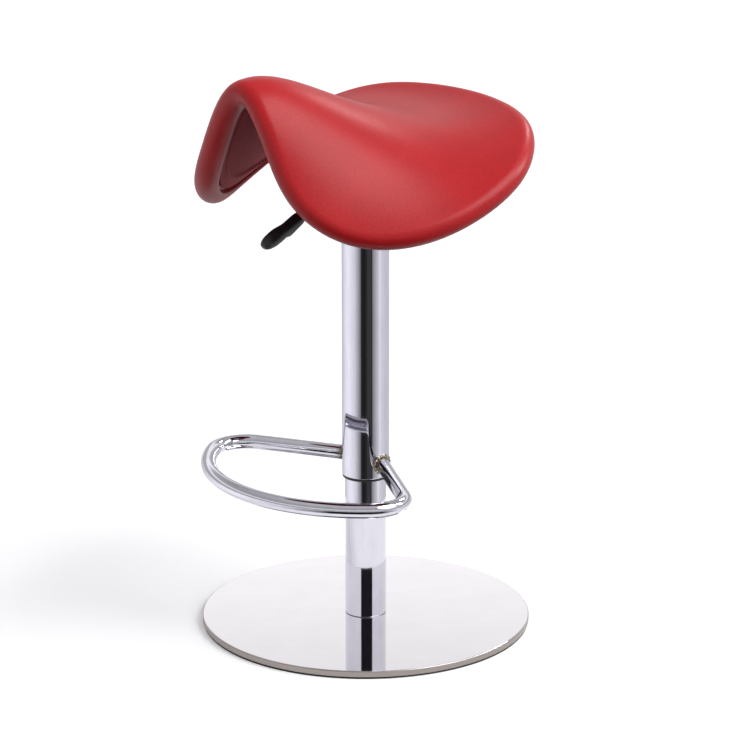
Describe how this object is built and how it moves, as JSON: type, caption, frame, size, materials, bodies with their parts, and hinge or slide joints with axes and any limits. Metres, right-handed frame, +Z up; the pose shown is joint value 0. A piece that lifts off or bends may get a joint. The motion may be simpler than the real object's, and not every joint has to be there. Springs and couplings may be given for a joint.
{
  "type": "saddle stool",
  "caption": "Saddle seat on a height-adjusting, swivelling column with a release lever, a foot ring and a flat round floor plate.",
  "frame": {"origin": "centre of the rubber sheet's underside, on the floor under the column", "axes": "+Z up along the column, -Y the way the rider faces, +X the rider's left"},
  "size_m": [0.4116, 0.4003, 0.7003],
  "materials": {
    "chrome_plate": "mirror-bright chrome plating on steel tube",
    "polished_stainless": "mirror-polished stainless steel",
    "zinc_steel": "bright zinc-plated steel",
    "black_steel": "black powder coat on pressed steel",
    "black_plastic": "fine-textured black polypropylene",
    "nylon": "machined black nylon",
    "black_rubber": "matt black rubber",
    "brass": "plain turned brass",
    "red_foam_skin": "satin integral-skin polyurethane with a fine leather grain",
    "red_shell": "glossy dark red moulded shell"
  },
  "bodies": {
    "base": {"floor_pad": "black_rubber", "base_plate": "polished_stainless", "lower_tube": "chrome_plate", "tube_foot": "zinc_steel", "base_screw_1": "zinc_steel", "base_screw_2": "zinc_steel", "base_screw_3": "zinc_steel", "base_screw_4": "zinc_steel", "guide_bush": "nylon", "bearing_washer_lower": "zinc_steel"},
    "ball_cage": {"bearing_ball_cage": "brass"},
    "gas_rod": {"bearing_washer_upper": "zinc_steel", "bump_stop": "black_rubber", "gas_spring_rod": "chrome_plate", "rod_clip": "zinc_steel", "gas_piston": "zinc_steel"},
    "column": {"gas_cylinder": "black_steel", "rod_seal": "nylon", "sleeve_tube": "chrome_plate", "sleeve_bush": "black_plastic", "foot_ring": "chrome_plate", "sleeve_flange": "zinc_steel", "flange_screw_1": "zinc_steel", "flange_screw_2": "zinc_steel", "flange_screw_3": "zinc_steel", "flange_screw_4": "zinc_steel", "taper_socket": "black_steel", "lever_channel": "black_steel", "mount_plate": "black_steel", "lever_pivot_pin": "zinc_steel", "pivot_spacer_right": "nylon", "pivot_spacer_left": "nylon", "seat_cushion": "red_foam_skin", "seat_shell": "red_shell", "seat_insert_1": "brass", "seat_insert_2": "brass", "seat_insert_3": "brass", "seat_insert_4": "brass", "seat_screw_1": "zinc_steel", "seat_screw_2": "zinc_steel", "seat_screw_3": "zinc_steel", "seat_screw_4": "zinc_steel"},
    "lever": {"lever_rocker": "zinc_steel", "lever_rod": "chrome_plate", "lever_grip": "black_plastic"},
    "release": {"release_pin": "zinc_steel"}
  },
  "joints": [
    {"name": "swivel", "type": "hinge", "parent": "base", "child": "gas_rod", "pos_m": [0, 0, 0.033], "axis": [0, 0, 1], "continuous": true},
    {"name": "cage_roll", "type": "hinge", "parent": "base", "child": "ball_cage", "pos_m": [0, 0, 0.031], "axis": [0, 0, 1], "continuous": true},
    {"name": "height", "type": "slide", "parent": "gas_rod", "child": "column", "axis": [0, 0, 1], "range_m": [-0.16, 0]},
    {"name": "lever_lift", "type": "hinge", "parent": "column", "child": "lever", "pos_m": [0, -0.03, 0.5798], "axis": [-1, 0, 0], "range_deg": [0, 7], "stiffness_Nm_per_rad": 1.5, "springref_deg": -5.73},
    {"name": "release_press", "type": "slide", "parent": "column", "child": "release", "axis": [0, 0, -1], "range_m": [0, 0.0037]}
  ],
  "couplings": [
    {"joint": "cage_roll", "follows": "swivel", "ratio": 0.5},
    {"joint": "release_press", "follows": "lever_lift", "m_per_rad": 0.03}
  ]
}
